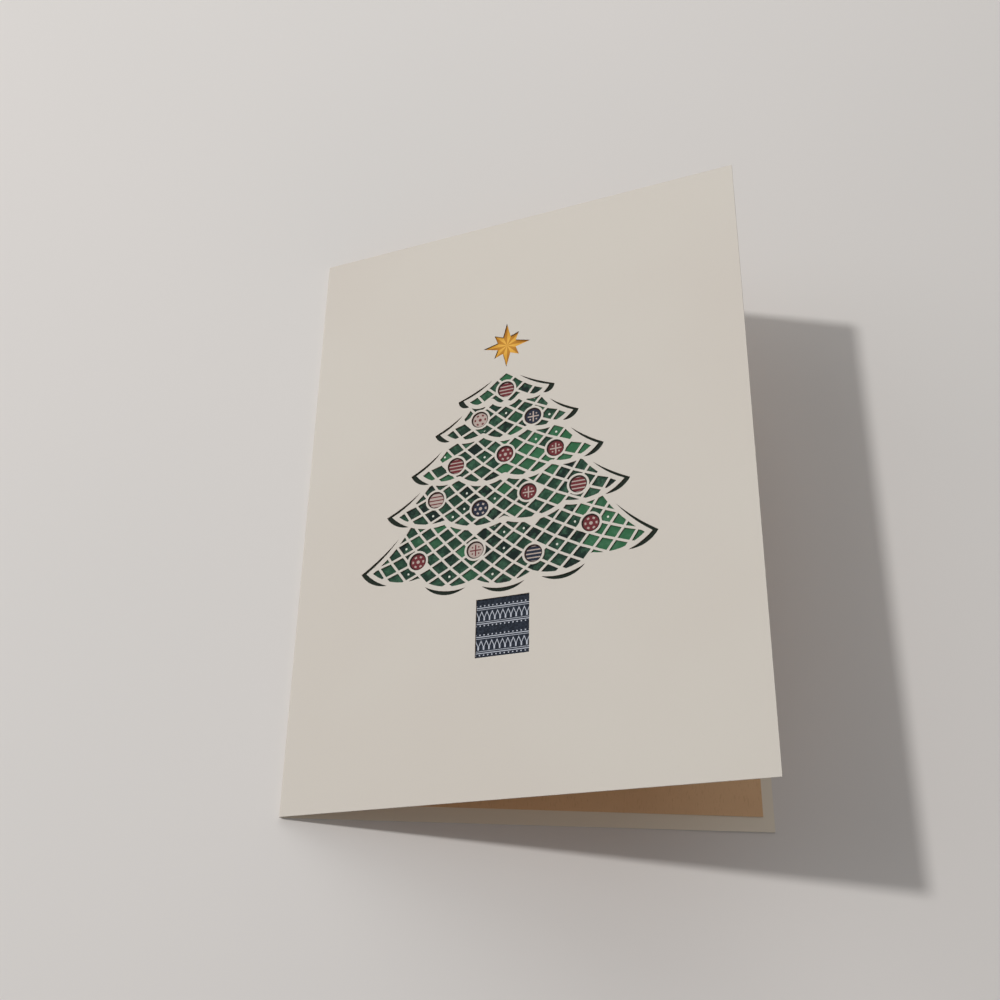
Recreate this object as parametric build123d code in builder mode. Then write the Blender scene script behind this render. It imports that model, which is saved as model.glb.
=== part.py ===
from build123d import *
import os
from math import asin, ceil, cos, pi, radians, sin, sqrt, tan

# A greeting card that stands part open, with a pop up tree inside it.
# The back lies on the table, the fold runs along Y on the minus X side, and the front is raised.
# Millimetres, +Z up. The origin is the middle of the underside of the card's bounding box.

# Sizes of the card
card_height = 200.0
card_width = 150.0
opening_angle = 26.7
cover_board = 0.4
cover_fold_radius = 1.0

# Sizes of the tan sheet that lines the inside
liner_board = 0.3
liner_fold_radius = 0.6
liner_inset_edge = 3.5
liner_inset_end = 4.6

# Sizes of the printed sheet behind the cut out tree
backing_board = 0.15
backing_margin = 6.0

# Sizes of the cut out tree on the front, measured from the foot of its trunk
tree_axis_from_spine = 71.5
tree_foot_from_end = 42.0
tier_count = 5
bottom_tier_half_width = 47.0
tier_step_in = 8.0
bottom_tip_height = 32.5
tier_rises = (11.0, 13.5, 13.5, 18.5)
top_tier_height = 11.2
neck_share = 0.8
hem_sag_share = 0.19
scallops_on_tier = (3, 3, 4, 4, 5)
scallop_bulge = 2.2
side_sweep = 1.6
hem_band = 1.5
rib_width = 0.8
net_row = 5.4
net_column = 7.4
smallest_cell = 1.4
slit_width = 1.3
slit_width_at_side = 0.7
slit_reach_past_tip = 1.8
slit_share_of_side = 0.62
slit_share_of_hem = 0.18
slit_bridge_share = 0.14
bauble_radius = 2.9
bauble_ring = 0.7
baubles_on_tier = (1, 2, 3, 4, 4)
bauble_spread_share = 0.86
bauble_low_share = 0.38
bauble_high_share = 0.6
trunk_width = 17.2
trunk_height = 18.4
star_points = 8
star_long_radius = 8.4
star_short_radius = 6.2
star_waist_radius = 3.5
star_overhang = 1.2

# Sizes of the pop up tree, as it stands when the card lies fully open
slice_board = 0.25
slice_pitch = 12.0
slice_reach = 2
slice_angle = 45.0
slot_clearance = 0.15
lap_clearance = 0.1
pop_canopy_radius = 43.0
pop_tier_rises = (18.0, 17.0, 15.0, 13.0, 11.0)
pop_tip_half_width = 1.5
pop_trunk_half_width = 8.0
neck_clearance = 1.3
hem_clearance = 1.0
top_hem_clearance = 2.5
page_room = 4.5
branch_droop = 1.6
leg_width = 7.0
foot_length = 6.0
foot_heel = 0.6
pop_star_points = 5
pop_star_radius = 8.5
pop_star_waist_radius = 3.6
pop_star_seat = 5.0
pop_star_stem_width = 7.0
join_overlap = 1.0
cut_overrun = 2.0

# Angles and directions that follow from the sizes
half_angle = radians(opening_angle) / 2
panel_direction = Vector(cos(2 * half_angle), 0, sin(2 * half_angle))
panel_outward = Vector(-sin(2 * half_angle), 0, cos(2 * half_angle))
bisector = Vector(cos(half_angle), 0, sin(half_angle))
across_bisector = Vector(-sin(half_angle), 0, cos(half_angle))
spine_setback = cover_fold_radius / sin(half_angle) - cover_fold_radius
panel_reach = card_width + spine_setback
apex_x = -card_width / 2 - spine_setback


# The folded sheets
def corner(above_back, under_front):
    """Where a plane above the back's outside meets a plane under the front's outside, as X and Z."""
    along = (under_front + above_back * cos(2 * half_angle)) / sin(2 * half_angle)
    return (apex_x + along, above_back)


def front_end(reach, under_front):
    """A point on the front, a reach from the apex and a depth under the outside, as X and Z."""
    point = Vector(apex_x, 0, 0) + panel_direction * reach - panel_outward * under_front
    return (point.X, point.Z)


def folded_section(above_back, under_front, board, reach, fold_radius):
    """The section of a sheet folded at the spine, from the depths of its outside, with Z as its Y."""
    with BuildSketch() as section:
        with BuildLine():
            Polyline(
                front_end(reach, under_front),
                corner(above_back, under_front),
                (apex_x + reach, above_back),
                (apex_x + reach, above_back + board),
                corner(above_back + board, under_front + board),
                front_end(reach, under_front + board),
                close=True,
            )
        make_face()
        fillet(section.vertices().sort_by(Axis.X)[1], radius=fold_radius - board)
        fillet(section.vertices().sort_by(Axis.X)[0], radius=fold_radius)
    return section.sketch


# The tree cut through the front, drawn flat with its axis on X = 0 and its foot on Y = 0
def tier_half_width(tier):
    return bottom_tier_half_width - tier_step_in * (tier_count - 1 - tier)


def tip_height(tier):
    return bottom_tip_height + sum(tier_rises[tier:])


def tier_height(tier):
    """The height from the tips of a tier up to the tips of the next one, or to the tree's top."""
    return top_tier_height if tier == 0 else tier_rises[tier - 1]


def hem_radius(tier):
    """The radius of the arc that a hem hangs on, from its half width and its sag."""
    sag = hem_sag_share * tier_half_width(tier)
    return (tier_half_width(tier) ** 2 + sag**2) / (2 * sag)


def hem_half_angle(tier):
    return asin(tier_half_width(tier) / hem_radius(tier))


def hem_point(tier, angle, lower):
    """A point at an angle from straight down, and a length under the arc that the hem hangs on."""
    radius = hem_radius(tier)
    focus = tip_height(tier) + radius * cos(hem_half_angle(tier))
    return ((radius + lower) * sin(angle), focus - (radius + lower) * cos(angle))


def side_line(tier):
    """The tip and the neck of the plus X side of a tier, and the direction square to it, outwards."""
    tip = Vector(tier_half_width(tier), tip_height(tier))
    if tier == 0:
        neck = Vector(0, tip.Y + top_tier_height)
    else:
        neck = Vector(neck_share * tier_half_width(tier - 1), tip_height(tier - 1))
    outwards = Vector(neck.Y - tip.Y, tip.X - neck.X).normalized()
    return tip, neck, outwards


def side_point(tier, share, outside=0.0):
    """A point a share of the way up a tier's side, which sweeps in between its tip and its neck."""
    tip, neck, outwards = side_line(tier)
    sweep = 4 * side_sweep * share * (1 - share)
    point = tip + (neck - tip) * share + outwards * (outside - sweep)
    return (point.X, point.Y)


def mirrored(points):
    """The same points on the other side of the tree's axis."""
    return [(-x, y) for x, y in points]


def scallop_point(tier, scallop, share, lower=0.0):
    """A point a share of the way across one scallop of a hem, and a length under it."""
    step = 2 * hem_half_angle(tier) / scallops_on_tier[tier]
    bulge = 4 * scallop_bulge * share * (1 - share)
    return hem_point(tier, hem_half_angle(tier) - (scallop + share) * step, bulge + lower)


def tier_sketch(tier, inset=0.0):
    """One tier of the tree: a hem of scallops, and two sides that sweep out from the neck to the tips."""
    side = [side_point(tier, share) for share in (0, 0.5, 1)]
    with BuildSketch() as face:
        with BuildLine():
            for scallop in range(scallops_on_tier[tier]):
                ThreePointArc(*[scallop_point(tier, scallop, share) for share in (0, 0.5, 1)])
            ThreePointArc(*side)
            if tier > 0:
                Line(side[-1], mirrored(side)[-1])
            ThreePointArc(*reversed(mirrored(side)))
        make_face()
        if inset > 0:
            offset(amount=-inset)
    return face.sketch


def net_ribs(tier):
    """The ribs of a tier: zigzags between the rows of a net, which fans out and fills the scallops."""
    columns = round(2 * tier_half_width(tier) / net_column)
    step = 2 * hem_half_angle(tier) / columns
    rows = ceil((tier_height(tier) + hem_sag_share * tier_half_width(tier)) / net_row)
    with BuildSketch() as ribs:
        for row in range(-1, rows):
            for phase in (0, 1):
                with BuildLine():
                    Polyline(
                        *[
                            hem_point(
                                tier,
                                i * step - hem_half_angle(tier),
                                -net_row * (row + (i + phase) % 2),
                            )
                            for i in range(columns + 1)
                        ]
                    )
                trace(line_width=rib_width)
    return ribs.sketch


def tier_cells(tier):
    """The openings of one tier, between its hem, its ribs and the tier above."""
    with BuildSketch() as cells:
        add(tier_sketch(tier, inset=hem_band))
        if tier > 0:
            add(tier_sketch(tier - 1), mode=Mode.SUBTRACT)
        add(net_ribs(tier), mode=Mode.SUBTRACT)
    return cells.sketch


def tip_slit(tier):
    """The slit round a tier's plus X tip, as arcs: up its side, and back under part of its hem."""
    tip = side_point(tier, 0)
    outer_tip = (tip[0] + slit_reach_past_tip, tip[1])
    side_end = side_point(tier, slit_share_of_side)
    side_inner = side_point(tier, slit_share_of_side / 2)
    side_outer = side_point(tier, slit_share_of_side / 2, slit_width_at_side)
    hem_share = slit_share_of_hem * scallops_on_tier[tier] / 2
    hem_end = scallop_point(tier, 0, hem_share)
    hem_inner = scallop_point(tier, 0, hem_share / 2)
    hem_outer = scallop_point(tier, 0, hem_share / 2, slit_width)
    return [
        (tip, side_inner, side_end),
        (side_end, side_outer, outer_tip),
        (outer_tip, hem_outer, hem_end),
        (hem_end, hem_inner, tip),
    ]


def hem_slit(tier, scallop):
    """The slit that underlines one scallop of a hem, as arcs that meet in a point at each end."""
    start = scallop_point(tier, scallop, slit_bridge_share)
    end = scallop_point(tier, scallop, 1 - slit_bridge_share)
    return [
        (start, scallop_point(tier, scallop, 0.5), end),
        (end, scallop_point(tier, scallop, 0.5, slit_width), start),
    ]


def outline_slits():
    """Every slit that outlines the tree from outside, over plain card."""
    outlines = []
    for tier in range(tier_count):
        outline = tip_slit(tier)
        outlines.append(outline)
        outlines.append([mirrored(arc) for arc in outline])
    last = tier_count - 1
    for scallop in range(1, scallops_on_tier[last] - 1):
        outlines.append(hem_slit(last, scallop))
    with BuildSketch() as slits:
        for outline in outlines:
            with BuildLine():
                for arc in outline:
                    ThreePointArc(*arc)
            make_face()
    return slits.sketch


def bauble_places():
    """The middles of the round windows, spread along each tier a little above its hem."""
    places = []
    for tier in range(tier_count):
        count = baubles_on_tier[tier]
        spread = 2 * hem_half_angle(tier) * bauble_spread_share / count
        for i in range(count):
            angle = spread * (i + (1 - count) / 2)
            share = bauble_high_share if (i + tier) % 2 else bauble_low_share
            places.append(hem_point(tier, angle, -share * tier_height(tier)))
    return places


def star_corners(points, long_radius, short_radius, waist_radius, height):
    """The corners of a star whose points are long and short by turns, from the top round."""
    corners = []
    for i in range(points):
        radius = long_radius if i % 2 == 0 else short_radius
        for turn, reach in ((i, radius), (i + 0.5, waist_radius)):
            angle = 2 * pi * turn / points
            corners.append((reach * sin(angle), height + reach * cos(angle)))
    return corners


tree_top = tip_height(0) + top_tier_height
star_height = tree_top - star_overhang + star_long_radius

with BuildSketch() as net:
    for tier in range(tier_count):
        add(tier_cells(tier))
    with Locations(*bauble_places()):
        Circle(bauble_radius + bauble_ring, mode=Mode.SUBTRACT)

with BuildSketch() as cut_out:
    add([cell for cell in net.sketch.faces() if cell.area > smallest_cell])
    add(outline_slits())
    with Locations(*bauble_places()):
        Circle(bauble_radius)
    with Locations((0, trunk_height / 2)):
        Rectangle(trunk_width, trunk_height)
    with BuildLine():
        Polyline(
            *star_corners(
                star_points, star_long_radius, star_short_radius, star_waist_radius, star_height
            ),
            close=True,
        )
    make_face()

# Plane on the outside of the front, with its origin at the foot of the tree and Y along the spine
tree_origin = (
    Vector(apex_x, tree_foot_from_end - card_height / 2, 0)
    + panel_direction * (spine_setback + tree_axis_from_spine)
)
tree_plane = Plane(origin=tree_origin, x_dir=panel_direction, z_dir=panel_outward)

# The cover, one sheet folded at the spine, with the tree cut through its front
with BuildPart() as cover:
    with BuildSketch(Plane.XZ):
        add(folded_section(0, 0, cover_board, panel_reach, cover_fold_radius))
    extrude(amount=card_height / 2, both=True)
    with BuildSketch(tree_plane):
        add(cut_out.sketch)
    extrude(amount=-cover_board, mode=Mode.SUBTRACT)

# The printed sheet glued behind the cut out tree
print_top = star_height + star_long_radius
with BuildPart() as printed_backing:
    with BuildSketch(tree_plane.offset(-cover_board)):
        with Locations((0, print_top / 2)):
            Rectangle(
                2 * (bottom_tier_half_width + backing_margin), print_top + 2 * backing_margin
            )
    extrude(amount=-backing_board)

# The tan sheet glued inside the cover, over the printed sheet
with BuildPart() as inner_sheet:
    with BuildSketch(Plane.XZ):
        add(
            folded_section(
                cover_board,
                cover_board + backing_board,
                liner_board,
                panel_reach - liner_inset_edge,
                liner_fold_radius,
            )
        )
    extrude(amount=card_height / 2 - liner_inset_end, both=True)

# The planes of the two pages inside, whose Z points out of the card
page_apex = Vector(
    corner(cover_board + liner_board, cover_board + backing_board + liner_board)[0],
    0,
    cover_board + liner_board,
)
front_page = Plane(origin=page_apex, x_dir=panel_direction, z_dir=panel_outward)
back_page = Plane(origin=page_apex, x_dir=(1, 0, 0), z_dir=(0, 0, -1))

# The pop up tree: two families of slices that cross and shear as the card opens and closes.
# A slice's own X runs along it, and its own Y runs away from the spine.
slice_sine = sin(radians(slice_angle))
shear = asin(slice_sine * sin(half_angle))
foot_distance = 2 * slice_pitch * slice_sine
slice_numbers = range(-slice_reach, slice_reach + 1)
tree_base = page_apex + bisector * (foot_distance * cos(half_angle))
slot_width = slice_board / tan(shear) + slot_clearance


def ring(index, other):
    """How far the crossing of two slices lies from the tree's axis, from their numbers."""
    return slice_pitch * sqrt(index**2 + other**2)


# Each neck stays outside one ring of crossings, and the hem above it stays inside the next ring
pop_necks = (
    ring(2, 1) + neck_clearance,
    ring(1, 1) + neck_clearance,
    ring(1, 0) + neck_clearance,
    slice_pitch / 2,
    pop_tip_half_width,
)
pop_hems = (
    pop_canopy_radius,
    ring(2, 2) - hem_clearance,
    ring(2, 0) - hem_clearance,
    ring(1, 1) - hem_clearance,
    ring(1, 0) - top_hem_clearance,
)
outer_slice = slice_reach * slice_pitch
outer_half_length = sqrt(pop_canopy_radius**2 - outer_slice**2)
canopy_height = (outer_half_length + outer_slice) * slice_sine - foot_distance + page_room
pop_tip_height = canopy_height + sum(pop_tier_rises)
star_seat_height = pop_tip_height - pop_star_seat


def slice_plane(family, index):
    """The middle plane of a slice: family is 1 or -1, and index counts from the middle slice."""
    along = Vector(0, cos(shear), 0) + across_bisector * (family * sin(shear))
    start = Vector(0, index * slice_pitch * cos(shear), 0)
    start -= across_bisector * (family * index * slice_pitch * sin(shear))
    return Plane(origin=tree_base + start, x_dir=along, z_dir=along.cross(bisector))


def half_length(radius, index):
    return sqrt(radius**2 - (index * slice_pitch) ** 2)


def canopy_edge(index):
    """The plus X edge of a slice's branches, from the lowest hem up to the tip."""
    away = abs(index) * slice_pitch
    points = []
    height = canopy_height
    for rise, hem, neck in zip(pop_tier_rises, pop_hems, pop_necks):
        if hem <= away:
            break
        droop = branch_droop if points else 0
        points.append((half_length(hem, index), height - droop))
        if neck <= away:
            points.append((0, height + rise * (hem - away) / (hem - neck)))
            break
        points.append((half_length(neck, index), height + rise))
        height += rise
    return points


def lap_height(index, other):
    """The height of the half lap where two slices cross, midway up their crossing."""
    radius = ring(index, other)
    low = canopy_height if radius > 0 else 0
    top = low
    height = canopy_height
    for rise, hem, neck in zip(pop_tier_rises, pop_hems, pop_necks):
        if hem > radius:
            top = height + rise * min(1, (hem - radius) / (hem - neck))
        height += rise
    return (low + top) / 2


def page_height(index, place):
    """The height at which a slice with a leg meets the page that its leg stands on."""
    return cos(half_angle) * ((slice_pitch - index * place) * slice_sine - foot_distance)


def slice_sketch(family, index):
    """The flat shape of a slice: branches, trunk or leg, and a slot at each crossing."""
    edge = canopy_edge(index)
    with BuildSketch() as shape:
        with BuildLine():
            other_edge = [(x, y) for x, y in reversed(mirrored(edge)) if x < 0]
            Polyline(*edge, *other_edge, close=True)
        make_face()
        if index == 0:
            with Locations((0, (canopy_height + join_overlap) / 2)):
                Rectangle(2 * pop_trunk_half_width, canopy_height + join_overlap)
        if family < 0 and index in (-1, 1):
            leg = -index * slice_pitch
            near = leg - leg_width / 2
            far = leg + leg_width / 2
            with BuildLine():
                Polyline(
                    (near, page_height(index, near) - cut_overrun),
                    (far, page_height(index, far) - cut_overrun),
                    (far, canopy_height + join_overlap),
                    (near, canopy_height + join_overlap),
                    close=True,
                )
            make_face()
        if family < 0 and index == 0:
            with Locations((0, star_seat_height + pop_star_seat)):
                Rectangle(2 * slice_pitch, 2 * pop_star_seat, mode=Mode.SUBTRACT)
        for other in slice_numbers:
            lap = lap_height(index, other)
            if family > 0:
                low = -cut_overrun
                high = lap + lap_clearance
            else:
                low = lap - lap_clearance
                high = pop_tip_height + cut_overrun
            with Locations((other * slice_pitch, (low + high) / 2)):
                Rectangle(slot_width, high - low, mode=Mode.SUBTRACT)
    return shape.sketch


def foot_outline(index):
    """The glued foot of a leg, on its page: X from the page's apex and Y along the spine."""
    places = (index * slice_pitch + leg_width / 2, index * slice_pitch - leg_width / 2)
    corners = []
    for place in places:
        far = (slice_pitch + index * place) * slice_sine
        corners.append((far, (index * slice_pitch - place) * cos(shear) * index))
    (x0, y0), (x1, y1) = corners
    Polyline(
        (x0 - foot_heel, y0),
        (x1 - foot_heel, y1),
        (x1 + foot_length, y1),
        (x0 + foot_length, y0),
        close=True,
    )


slices = {}
for family, side in ((1, "left"), (-1, "right")):
    for index in slice_numbers:
        with BuildPart() as slice_piece:
            with BuildSketch(slice_plane(family, index)):
                add(slice_sketch(family, index))
            extrude(amount=slice_board / 2, both=True)
            if family < 0 and index in (-1, 1):
                page = front_page if index > 0 else back_page
                split(bisect_by=page, keep=Keep.BOTTOM)
                with BuildSketch(page):
                    with BuildLine():
                        foot_outline(index)
                    make_face()
                extrude(amount=-slice_board)
        slices[f"tree_slice_{side}_{index + slice_reach + 1}"] = slice_piece.part

# The star on the tip of the pop up tree, with a slot that sits over the tip of the middle left slice
pop_star_height = pop_tip_height + pop_star_waist_radius
with BuildPart() as tree_star:
    with BuildSketch(slice_plane(-1, 0)):
        with BuildLine():
            Polyline(
                *star_corners(
                    pop_star_points,
                    pop_star_radius,
                    pop_star_radius,
                    pop_star_waist_radius,
                    pop_star_height,
                ),
                close=True,
            )
        make_face()
        with Locations((0, (star_seat_height + pop_star_height) / 2)):
            Rectangle(pop_star_stem_width, pop_star_height - star_seat_height)
        slot_low = star_seat_height - cut_overrun
        slot_high = pop_tip_height + lap_clearance
        with Locations((0, (slot_low + slot_high) / 2)):
            Rectangle(slot_width, slot_high - slot_low, mode=Mode.SUBTRACT)
    extrude(amount=slice_board / 2, both=True)

# Write each piece as a node of its own
os.makedirs("parts", exist_ok=True)
pieces = {
    "cover": cover.part,
    "printed_backing": printed_backing.part,
    "inner_sheet": inner_sheet.part,
    **slices,
    "tree_star": tree_star.part,
}
for name, piece in pieces.items():
    piece.label = name
    export_step(piece, f"parts/{name}.step")
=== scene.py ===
from math import asin, cos, pi, radians, sin

import bpy
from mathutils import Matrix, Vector


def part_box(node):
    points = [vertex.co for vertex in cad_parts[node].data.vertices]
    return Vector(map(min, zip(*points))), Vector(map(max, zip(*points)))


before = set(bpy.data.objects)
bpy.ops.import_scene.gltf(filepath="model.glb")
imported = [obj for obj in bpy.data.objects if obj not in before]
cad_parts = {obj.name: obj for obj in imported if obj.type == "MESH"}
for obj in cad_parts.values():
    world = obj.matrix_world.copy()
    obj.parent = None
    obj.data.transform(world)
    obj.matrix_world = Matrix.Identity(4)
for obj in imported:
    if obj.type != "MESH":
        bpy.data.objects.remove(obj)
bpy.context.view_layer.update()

# The camera, in metres and degrees, at the photograph's viewing angle
CAMERA_PLACE = (-0.03291, -0.17952, 0.38378)
CAMERA_TURN = (26.056, -3.742, 0.921)
CAMERA_LENS = 45.41
SENSOR = 36.0

# The lamps: which way the light travels, then metres away, metres wide and watts
KEY_LAMP = ((0.645, -0.156, -0.748), 4.0, 0.22, 77.0)
TOP_LAMP = ((0.0, -0.75, -0.66), 1.3, 1.0, 3.6)
LEFT_LAMP = ((0.75, -0.2, -0.6), 1.3, 1.0, 2.7)
LAMP_TINT = (1.0, 0.99, 0.975)
SKY_TINT = (0.99, 0.99, 1.0, 1.0)
SKY_LEVEL = 0.21

# The floor, in metres: half its width, and the distances between which it fades into the backdrop
FLOOR_HALF_WIDTH = 6.0
FLOOR_FADE = (0.36, 1.05)

# The card, in millimetres, as it is built
OPENING = radians(26.7)
BACKING_MARGIN = 6.0
TIERS = 5
BOTTOM_HALF_WIDTH = 47.0
TIER_STEP_IN = 8.0
BOTTOM_TIP_HEIGHT = 32.5
TIER_RISES = (11.0, 13.5, 13.5, 18.5)
TOP_TIER_HEIGHT = 11.2
NECK_SHARE = 0.8
HEM_SAG_SHARE = 0.19
SCALLOPS_ON_TIER = (3, 3, 4, 4, 5)
SCALLOP_BULGE = 2.2
SIDE_SWEEP = 1.6
HEM_BAND = 1.5
NET_ROW = 5.4
NET_COLUMN = 7.4
BAUBLES_ON_TIER = (1, 2, 3, 4, 4)
BAUBLE_RADIUS = 2.9
BAUBLE_SPREAD_SHARE = 0.86
BAUBLE_LOW_SHARE = 0.38
BAUBLE_HIGH_SHARE = 0.6
TRUNK_WIDTH = 17.2
TRUNK_HEIGHT = 18.4
STAR_LONG_RADIUS = 8.4
STAR_OVERHANG = 1.2
MM = 0.001

# The print, in millimetres: how far it runs past its windows, and its free room round a bauble
BLEED = 1.0
BAUBLE_BLEED = 0.4
BAUBLE_ROOM = 1.7

# How deep the tooth of paper is, in metres
TOOTH_DEPTH = 0.00002


def linear(red, green, blue):
    """A colour seen on a screen, from 0 to 255 a channel, as linear light."""
    def one(level):
        share = level / 255
        return share / 12.92 if share <= 0.04045 else ((share + 0.055) / 1.055) ** 2.4
    return (one(red), one(green), one(blue), 1.0)


# The surroundings
BACKDROP = linear(206, 203, 199)
FLOOR_TONES = (linear(223, 220, 217), linear(226, 222, 219))

# The cards
CREAM_TONES = (linear(204, 197, 188), linear(206, 200, 191))
CREAM_FLECK = linear(186, 177, 164)
# Painted fill light: the cover's inner faces get a lighter cream than its outside, though it is the same
# card
CREAM_INSIDE_PAINTED_FILL_LIGHT = linear(236, 227, 211)
SCORCHED_CUT = linear(120, 92, 66)
TAN_TONES = (linear(226, 187, 146), linear(232, 194, 153))
TAN_FIBRE = linear(200, 159, 120)
GREEN_TONES = (linear(38, 88, 62), linear(46, 100, 70))
GOLD_TONES = (linear(214, 158, 60), linear(228, 174, 76))

# The inks of the printed sheet
# Near-black green outside the tree: a dark green print, darkened further as painted shade of the narrow
# slits round the tiers
SLIT_GREEN_AND_PAINTED_SHADE = linear(34, 42, 35)
NET_DARK = linear(27, 38, 36)
NET_MIDDLE = linear(37, 62, 50)
NET_BRIGHT = linear(52, 102, 70)
NET_WASH = linear(80, 122, 96)
NET_DOT = linear(214, 216, 204)
BAUBLE_RED = linear(108, 48, 53)
BAUBLE_NAVY = linear(42, 48, 62)
BAUBLE_PALE = linear(180, 164, 156)
BAUBLE_EDGE = linear(52, 38, 38)
TRUNK_NAVIES = (linear(29, 34, 43), linear(47, 53, 64))
TRUNK_FIGURE = linear(186, 190, 200)
STAR_MIDDLE = (linear(230, 178, 82), linear(196, 138, 56))
STAR_TIPS = (linear(208, 150, 52), linear(166, 108, 38))


class Value:
    """One number socket of a material, so that sums are written as Python expressions."""

    def __init__(self, nodes, socket):
        self.nodes = nodes
        self.socket = socket

    def math(self, operation, *others):
        node = self.nodes.node(
            "ShaderNodeMath", {"operation": operation}, dict(enumerate((self, *others))))
        return Value(self.nodes, node.outputs[0])

    def __add__(self, other):
        return self.math("ADD", other)

    __radd__ = __add__

    def __mul__(self, other):
        return self.math("MULTIPLY", other)

    __rmul__ = __mul__

    def __sub__(self, other):
        return self.math("SUBTRACT", other)

    def __rsub__(self, other):
        return self * -1 + other

    def __truediv__(self, other):
        return self.math("DIVIDE", other)

    def __lt__(self, other):
        return self.math("LESS_THAN", other)

    def __gt__(self, other):
        return self.math("GREATER_THAN", other)

    def __or__(self, other):
        """1 where either of two masks is 1."""
        return self.math("MAXIMUM", other)

    def __abs__(self):
        return self.math("ABSOLUTE")

    def floor(self):
        return self.math("FLOOR")

    def part(self):
        """What is left above the whole part."""
        return self.math("FRACT")

    def odd(self):
        """1 where the whole part is odd, and 0 where it is even."""
        return (self.floor() * 0.5).part() > 0.25

    def swap(self, other, mask):
        """This value where the mask is 0, and the other where it is 1."""
        return self + (other - self) * mask

    def ease(self, low, high):
        """0 at low, 1 at high, and a smooth step between them."""
        node = self.nodes.node(
            "ShaderNodeMapRange", {"interpolation_type": "SMOOTHSTEP"},
            {"Value": self, "From Min": low, "From Max": high, "To Min": 0.0, "To Max": 1.0})
        return Value(self.nodes, node.outputs[0])


class Nodes:
    """The nodes of a material or of the sky."""

    def __init__(self, tree):
        self.tree = tree

    def node(self, kind, settings=None, sockets=None):
        """Adds a node with its settings, then the values or links of its sockets."""
        node = self.tree.nodes.new(kind)
        for key, value in (settings or {}).items():
            setattr(node, key, value)
        for key, value in (sockets or {}).items():
            if isinstance(value, Value):
                value = value.socket
            if isinstance(value, bpy.types.NodeSocket):
                self.tree.links.new(value, node.inputs[key])
            else:
                node.inputs[key].default_value = value
        return node

    def number(self, number):
        """A plain number as a value, for others to be swapped in over it."""
        node = self.node("ShaderNodeValue")
        node.outputs[0].default_value = number
        return Value(self, node.outputs[0])

    def show(self, share, first, second, output):
        """Shows the first shader where the share is 0, and the second where it is 1."""
        both = self.node("ShaderNodeMixShader", None, {0: share, 1: first, 2: second})
        self.tree.links.new(both.outputs[0], self.tree.nodes[output].inputs["Surface"])

    def looked_at(self):
        """1 for what the camera sees, direct or in gloss or glass, and 0 for light that falls on things."""
        path = self.node("ShaderNodeLightPath")
        direct = Value(self, path.outputs["Is Camera Ray"])
        return direct | path.outputs["Is Glossy Ray"] | path.outputs["Is Transmission Ray"]


class Paint(Nodes):
    """A material under construction: its nodes, its place on the object and its shader."""

    def __init__(self, name, roughness=0.8, specular=0.3):
        self.material = bpy.data.materials.new(name)
        self.material.use_nodes = True
        super().__init__(self.material.node_tree)
        self.shader = self.tree.nodes["Principled BSDF"]
        self.shader.inputs["Roughness"].default_value = roughness
        self.shader.inputs["Specular IOR Level"].default_value = specular
        where = self.node("ShaderNodeTexCoord")
        self.place = where.outputs["Object"]
        self.facing = where.outputs["Normal"]

    def along(self, vector, direction):
        """How far a vector reaches along a fixed direction."""
        node = self.node(
            "ShaderNodeVectorMath", {"operation": "DOT_PRODUCT"}, {0: vector, 1: tuple(direction)})
        return Value(self, node.outputs["Value"])

    def noise(self, per_metre, detail, vector=None, rough=0.5):
        """Smooth random values from 0 to 1, so many to the metre."""
        node = self.node(
            "ShaderNodeTexNoise", {"noise_dimensions": "3D"},
            {"Vector": vector or self.place, "Scale": per_metre, "Detail": detail, "Roughness": rough})
        return Value(self, node.outputs[0])

    def dice(self, x, y, seed=0.0):
        """A random value from 0 to 1 for each pair of whole numbers."""
        spot = self.node("ShaderNodeCombineXYZ", None, {0: x, 1: y, 2: seed}).outputs[0]
        node = self.node("ShaderNodeTexWhiteNoise", {"noise_dimensions": "3D"}, {"Vector": spot})
        return Value(self, node.outputs["Value"])

    def blend(self, share, first, second):
        """The first colour where the share is 0, and the second where it is 1."""
        node = self.node("ShaderNodeMix", {"data_type": "RGBA"}, {"Factor": share, 6: first, 7: second})
        return node.outputs[2]

    def clouds(self, per_metre, tones, detail=3):
        """Two near tones in soft clouds."""
        return self.blend(self.noise(per_metre, detail).ease(0.3, 0.7), *tones)

    def finish(self, colour, tooth=None, strength=0.2):
        """Links the colour, and the tooth of the paper as a bump."""
        self.tree.links.new(colour, self.shader.inputs["Base Color"])
        if tooth is not None:
            bump = self.node(
                "ShaderNodeBump", None, {"Strength": strength, "Distance": TOOTH_DEPTH, "Height": tooth})
            self.tree.links.new(bump.outputs[0], self.shader.inputs["Normal"])
        return self.material


# The directions of the raised front, and where the printed tree stands on it
panel_along = Vector((cos(OPENING), 0, sin(OPENING)))
panel_out = Vector((-sin(OPENING), 0, cos(OPENING)))
backing_low, backing_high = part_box("printed_backing")
backing_middle = (backing_low + backing_high) / 2
tree_foot = Vector((backing_middle.x, backing_low.y + BACKING_MARGIN * MM, backing_middle.z))


def tree_place(paint):
    """Millimetres across the tree from its axis, and up it from its foot."""
    across = (paint.along(paint.place, panel_along) - tree_foot.dot(panel_along)) * (1 / MM)
    up = (paint.along(paint.place, (0, 1, 0)) - tree_foot.y) * (1 / MM)
    return across, up


# The tree's measures, by the same rules as the cut-out
def half_width(tier):
    return BOTTOM_HALF_WIDTH - TIER_STEP_IN * (TIERS - 1 - tier)


def tip_height(tier):
    return BOTTOM_TIP_HEIGHT + sum(TIER_RISES[tier:])


def tier_height(tier):
    return TOP_TIER_HEIGHT if tier == 0 else TIER_RISES[tier - 1]


def hem_radius(tier):
    sag = HEM_SAG_SHARE * half_width(tier)
    return (half_width(tier) ** 2 + sag ** 2) / (2 * sag)


def hem_half_angle(tier):
    return asin(half_width(tier) / hem_radius(tier))


def focus_height(tier):
    return tip_height(tier) + hem_radius(tier) * cos(hem_half_angle(tier))


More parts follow.
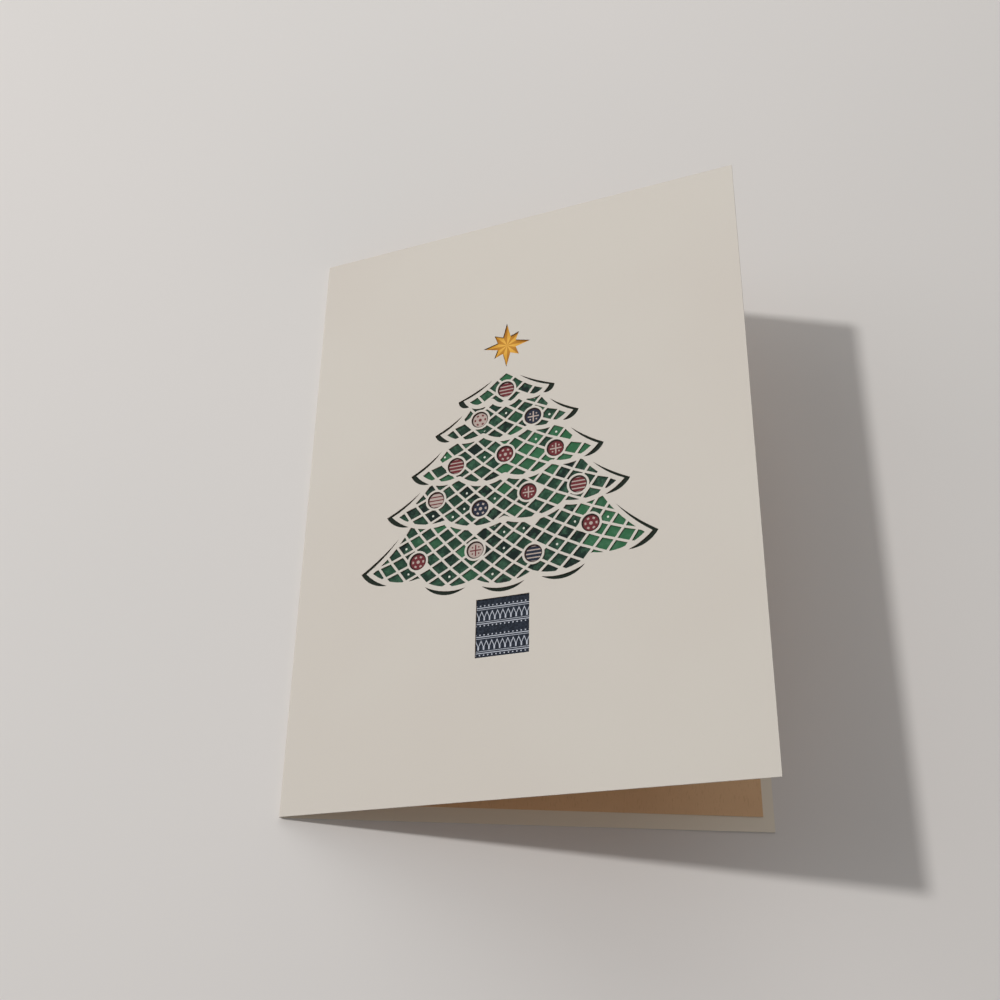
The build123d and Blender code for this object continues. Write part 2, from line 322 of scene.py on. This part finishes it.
def star_height():
    return tip_height(0) + tier_height(0) - STAR_OVERHANG + STAR_LONG_RADIUS


def bauble_places():
    """The middles of the round windows, spread along each tier a little above its hem."""
    places = []
    for tier in range(TIERS):
        count = BAUBLES_ON_TIER[tier]
        spread = 2 * hem_half_angle(tier) * BAUBLE_SPREAD_SHARE / count
        for i in range(count):
            angle = spread * (i + (1 - count) / 2)
            share = BAUBLE_HIGH_SHARE if (i + tier) % 2 else BAUBLE_LOW_SHARE
            radius = hem_radius(tier) - share * tier_height(tier)
            places.append((radius * sin(angle), focus_height(tier) - radius * cos(angle)))
    return places


def tier_print(across, up, tier):
    """Where a tier lies, its net in columns from the left tip and rows above the hem, and lobes a column."""
    columns = round(2 * half_width(tier) / NET_COLUMN)
    below_focus = focus_height(tier) - up
    reach = (across * across + below_focus * below_focus).math("SQRT")
    turn = across.math("ARCTAN2", below_focus) * (1 / (2 * hem_half_angle(tier))) + 0.5
    above_hem = hem_radius(tier) - reach
    place = (turn * SCALLOPS_ON_TIER[tier]).part()
    bulge = place * (1 - place) * (4 * SCALLOP_BULGE)

    # The side runs straight from the tip to the neck, and sweeps in between them
    tip = Vector((half_width(tier), tip_height(tier)))
    neck_half = NECK_SHARE * half_width(tier - 1) if tier else 0.0
    rise = Vector((neck_half, tip.y + tier_height(tier))) - tip
    side = rise.normalized()
    share = ((abs(across) - tip.x) * side.x + (up - tip.y) * side.y) * (1 / rise.length)
    out = (abs(across) - tip.x) * side.y - (up - tip.y) * side.x
    sweep = share * (1 - share) * (4 * SIDE_SWEEP)
    inside = (above_hem + bulge > HEM_BAND / 2) * (out + sweep < -HEM_BAND / 2)
    inside = inside * (up < tip.y + tier_height(tier))
    return inside, turn * columns, above_hem * (1 / NET_ROW), SCALLOPS_ON_TIER[tier] / columns


def net_print(paint, across, up):
    """Greens of the net's cells, which change from lobe to lobe, with near-black green outside, a dark green
    print darkened as painted shade of the narrow slits, and its dots.
    """
    column = paint.number(0.0)
    row = paint.number(0.0)
    lobes_per_column = paint.number(0.0)
    number = paint.number(0.0)
    tree = paint.number(0.0)
    for tier in reversed(range(TIERS)):
        inside, tier_column, tier_row, tier_lobes = tier_print(across, up, tier)
        column = column.swap(tier_column, inside)
        row = row.swap(tier_row, inside)
        lobes_per_column = lobes_per_column.swap(tier_lobes, inside)
        number = number.swap(tier, inside)
        tree = tree | inside

    # The ribs climb to the left and to the right, and a cell lies between two of each
    rising = column + row
    falling = column - row
    east_rib = rising.floor()
    west_rib = falling.floor()

    # A lobe's tone and a cell's own, so that each cell has one colour
    lobe_edge_nudge = 0.01
    middle = (east_rib + west_rib + 1) * 0.5
    lobe = (middle * lobes_per_column + lobe_edge_nudge).floor() + number * 10
    tone = paint.dice(lobe, 0.0) * 0.55 + paint.dice(east_rib, west_rib, lobe) * 0.45
    green = paint.blend(tone.ease(0.2, 0.42), NET_DARK, NET_MIDDLE)
    green = paint.blend(tone.ease(0.5, 0.76), green, NET_BRIGHT)
    wash = paint.noise(380, 3, rough=0.65).ease(0.42, 0.72)
    green = paint.blend(wash * 0.5, green, NET_WASH)

    # A dot in the middle of some cells, though of none that the hem cuts through
    dot_radius = 0.38
    dotted_share = 0.26
    east = (rising.part() + falling.part() - 1) * (0.5 * NET_COLUMN)
    north = (rising.part() - falling.part()) * (0.5 * NET_ROW)
    dot = (east * east + north * north) < dot_radius ** 2
    whole = (east_rib - west_rib) > 0.5
    dotted = paint.dice(east_rib, west_rib, lobe + 500) > 1 - dotted_share
    # Outside the tiers: dark green print, darkened as painted shade of the narrow slits
    return paint.blend(tree, SLIT_GREEN_AND_PAINTED_SHADE, green), dot * dotted * whole * tree


def bauble_print(paint, across, up, colour, net_dots):
    """The net's dots, clear of the baubles, which are red, navy or pale with stripes, dots or a cross."""
    far_away = 99.0
    ball_x = paint.number(far_away)
    ball_y = paint.number(far_away)
    number = paint.number(0.0)
    for i, (x, y) in enumerate(bauble_places()):
        dx = across - x
        dy = up - y
        near = (dx * dx + dy * dy) < (BAUBLE_RADIUS + BAUBLE_ROOM) ** 2
        ball_x = ball_x.swap(dx, near)
        ball_y = ball_y.swap(dy, near)
        number = number.swap(i, near)
    distance = (ball_x * ball_x + ball_y * ball_y).math("SQRT")
    clear = distance > BAUBLE_RADIUS + BAUBLE_ROOM
    colour = paint.blend(net_dots * clear, colour, NET_DOT)

    # Stripes
    stripe_pitch = 1.25
    stripes = abs((ball_y / stripe_pitch).part() - 0.5) > 0.34

    # Six dots in a ring, and one in the middle
    ring_radius = 1.75
    turn = (ball_x.math("ARCTAN2", ball_y) * (6 / (2 * pi))).part()
    ring = (abs(turn - 0.5) < 0.21) * (abs(distance - ring_radius) < 0.3)
    dots = ring | (distance < 0.55)

    # A cross, with a dot in each of its corners
    corner = 1.05
    arms = ((abs(ball_x) < 0.22) | (abs(ball_y) < 0.22)) * (distance < 1.9)
    corners = (abs(abs(ball_x) - corner) < 0.24) * (abs(abs(ball_y) - corner) < 0.24)
    cross = arms | corners

    # The three figures in turn, the colours of every fifth bauble swapped, and every fifth in navy
    def every_fifth(first):
        return ((number - first) / 5).part() < 0.1

    figure = (number / 3).part() * 3
    marks = stripes * (figure < 0.5)
    marks = marks | dots * (figure > 0.5) * (figure < 1.5)
    marks = marks | cross * (figure > 1.5)
    marks = marks.swap(1 - marks, every_fifth(1)) * (distance < BAUBLE_RADIUS - 0.3)
    ground = paint.blend(every_fifth(2), BAUBLE_RED, BAUBLE_NAVY)
    ball = paint.blend(marks, ground, BAUBLE_PALE)
    ball = paint.blend(distance > BAUBLE_RADIUS - 0.42, ball, BAUBLE_EDGE)
    return paint.blend(distance < BAUBLE_RADIUS + BAUBLE_BLEED, colour, ball)


def trunk_print(paint, across, up, colour):
    """Trunk: navy, with two bands of a zigzag on stems between double lines and rows of dots."""
    band_pitch = TRUNK_HEIGHT / 2
    band_middle = 4.0
    band = (up / band_pitch).part() * band_pitch
    from_middle = abs(band - band_middle)
    outer_line = abs(from_middle - 2.55) < 0.13
    inner_line = abs(from_middle - 1.97) < 0.08

    # Teeth are 0 at the foot of a tooth, and 1 at its tip
    tooth_pitch = TRUNK_WIDTH / 10
    teeth = abs((across / tooth_pitch).part() - 0.5) * 2
    zigzag = abs(band - 3.3 - teeth * 2.0) < 0.27
    stems = (teeth < 0.27) * (abs(band - 3.0) < 0.55)

    dot_pitch = TRUNK_WIDTH / 13
    dot_radius = 0.22
    dot_x = ((across / dot_pitch).part() - 0.5) * dot_pitch
    dot_y = from_middle - 3.15
    dots = (dot_x * dot_x + dot_y * dot_y) < dot_radius ** 2

    figure = outer_line | inner_line | zigzag | stems | dots
    grain = paint.noise(1600, 3).ease(0.35, 0.65)
    navy = paint.blend(grain, *TRUNK_NAVIES)
    navy = paint.blend(figure, navy, TRUNK_FIGURE)
    trunk = (abs(across) < TRUNK_WIDTH / 2 + BLEED) * (up > -BLEED) * (up < TRUNK_HEIGHT + BLEED)
    return paint.blend(trunk, colour, navy)


def star_print(paint, across, up, colour):
    """Star: gold in two tones, which change at each point and waist."""
    points = 8
    foot_in_tier = 0.9
    star_up = up - star_height()
    turn = across.math("ARCTAN2", star_up)
    facet = (turn * (points / pi) + 2 * points).odd()
    distance = (across * across + star_up * star_up).math("SQRT")
    near = paint.blend(facet, *STAR_MIDDLE)
    far = paint.blend(facet, *STAR_TIPS)
    gold = paint.blend(distance.ease(0.5, STAR_LONG_RADIUS * 0.8), near, far)
    star = (distance < STAR_LONG_RADIUS + BLEED) * (star_up > foot_in_tier - STAR_LONG_RADIUS)
    return paint.blend(star, colour, gold)


def printed_sheet():
    """The print behind the cut-out: greens in the net's cells, baubles, trunk and star."""
    paint = Paint("printed_sheet", specular=0.12)
    across, up = tree_place(paint)
    colour, net_dots = net_print(paint, across, up)
    colour = bauble_print(paint, across, up, colour, net_dots)
    colour = trunk_print(paint, across, up, colour)
    colour = star_print(paint, across, up, colour)
    return paint.finish(colour, tooth=paint.noise(5000, 3), strength=0.15)


def cover_card():
    """Smooth cream card, painted lighter on its inner faces as painted fill light under the raised front,
    with brown scorched walls in the cuts of the front.
    """
    paint = Paint("cover_card", roughness=0.72)
    cream = paint.clouds(14, CREAM_TONES, detail=2)
    fleck = paint.noise(2600, 2).ease(0.62, 0.8)
    cream = paint.blend(fleck * 0.22, cream, CREAM_FLECK)

    # The inside is the upper face of the back and the under face of the front; it is painted lighter, as
    # painted fill light that reaches under the raised front
    out = paint.along(paint.facing, panel_out)
    on_back = paint.along(paint.place, (0, 0, 1)) < MM
    inner_back = on_back * (paint.along(paint.facing, (0, 0, 1)) > 0.9)
    inner_front = out < -0.9
    # Painted fill light: the inner faces get the lighter cream
    cream = paint.blend(inner_back | inner_front, cream, CREAM_INSIDE_PAINTED_FILL_LIGHT)

    # The walls of the cuts face along the front, near the tree
    across, up = tree_place(paint)
    near_tree = abs(across) < BOTTOM_HALF_WIDTH + BACKING_MARGIN
    near_tree = near_tree * (up > -BACKING_MARGIN) * (up < star_height() + STAR_LONG_RADIUS + BACKING_MARGIN)
    colour = paint.blend((abs(out) < 0.6) * near_tree, cream, SCORCHED_CUT)
    return paint.finish(colour, tooth=paint.noise(3200, 4), strength=0.22)


def tan_sheet():
    """Tan kraft card with short darker and lighter fibres."""
    paint = Paint("tan_sheet", roughness=0.85)
    fibre_squeeze = (1, 0.22, 1)
    fibre_place = paint.node(
        "ShaderNodeMapping", None, {"Vector": paint.place, "Scale": fibre_squeeze}).outputs[0]
    fibre = paint.noise(2400, 2, fibre_place).ease(0.55, 0.75)
    colour = paint.blend(fibre * 0.35, paint.clouds(45, TAN_TONES), TAN_FIBRE)
    return paint.finish(colour, tooth=paint.noise(2800, 3), strength=0.25)


def dyed_card(name, tones):
    """Dyed card: two near tones in soft clouds with light flecks, and a fine tooth."""
    paint = Paint(name)
    fleck = paint.noise(2200, 2).ease(0.6, 0.8)
    colour = paint.blend(fleck * 0.25, paint.clouds(60, tones), tones[1])
    return paint.finish(colour, tooth=paint.noise(3000, 3))


def dress():
    """Gives every piece of the card its material."""
    green_card = dyed_card("green_card", GREEN_TONES)
    looks = {
        "cover": cover_card(),
        "printed_backing": printed_sheet(),
        "inner_sheet": tan_sheet(),
        "tree_star": dyed_card("gold_card", GOLD_TONES),
    }
    for name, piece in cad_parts.items():
        for slot in piece.material_slots:
            slot.material = looks.get(name, green_card)


def floor():
    """A wide pale floor under the card, which melts into the backdrop far from it."""
    size = FLOOR_HALF_WIDTH
    mesh = bpy.data.meshes.new("floor")
    mesh.from_pydata(
        [(-size, -size, 0), (size, -size, 0), (size, size, 0), (-size, size, 0)], [], [(0, 1, 2, 3)])
    piece = bpy.data.objects.new("floor", mesh)
    bpy.context.scene.collection.objects.link(piece)
    paint = Paint("floor", roughness=0.6, specular=0.2)
    x = paint.along(paint.place, (1, 0, 0))
    y = paint.along(paint.place, (0, 1, 0))
    far = (x * x + y * y).math("SQRT").ease(*FLOOR_FADE)
    glow = paint.node("ShaderNodeEmission", None, {"Color": BACKDROP}).outputs[0]
    paint.show(far * paint.looked_at(), paint.shader.outputs[0], glow, "Material Output")
    mesh.materials.append(paint.finish(paint.clouds(3, FLOOR_TONES, detail=2)))


def camera():
    data = bpy.data.cameras.new("camera")
    data.sensor_width = SENSOR
    data.lens = CAMERA_LENS
    data.clip_start = 0.01
    eye = bpy.data.objects.new("camera", data)
    eye.location = CAMERA_PLACE
    eye.rotation_euler = [radians(a) for a in CAMERA_TURN]
    bpy.context.scene.collection.objects.link(eye)
    bpy.context.scene.camera = eye


def lamp(name, direction, distance, size, power):
    """A round lamp whose light travels in a direction and meets the table at the card."""
    data = bpy.data.lights.new(name, "AREA")
    data.shape = "DISK"
    data.size = size
    data.energy = power
    data.color = LAMP_TINT
    piece = bpy.data.objects.new(name, data)
    way = Vector(direction).normalized()
    piece.location = way * -distance
    piece.rotation_euler = way.to_track_quat("-Z", "Y").to_euler()
    bpy.context.scene.collection.objects.link(piece)


def lamps():
    """A key lamp from the left, broad soft ones from the left and beyond, and an even pale sky."""
    lamp("key", *KEY_LAMP)
    lamp("top", *TOP_LAMP)
    lamp("left", *LEFT_LAMP)
    world = bpy.data.worlds.new("sky")
    world.use_nodes = True
    bpy.context.scene.world = world
    light = world.node_tree.nodes["Background"]
    light.inputs["Color"].default_value = SKY_TINT
    light.inputs["Strength"].default_value = SKY_LEVEL
    sky = Nodes(world.node_tree)
    backdrop = sky.node("ShaderNodeBackground", None, {"Color": BACKDROP, "Strength": 1.0})
    sky.show(sky.looked_at(), light.outputs[0], backdrop.outputs[0], "World Output")


camera()
lamps()
floor()
dress()
bpy.context.scene.view_settings.view_transform = "Standard"
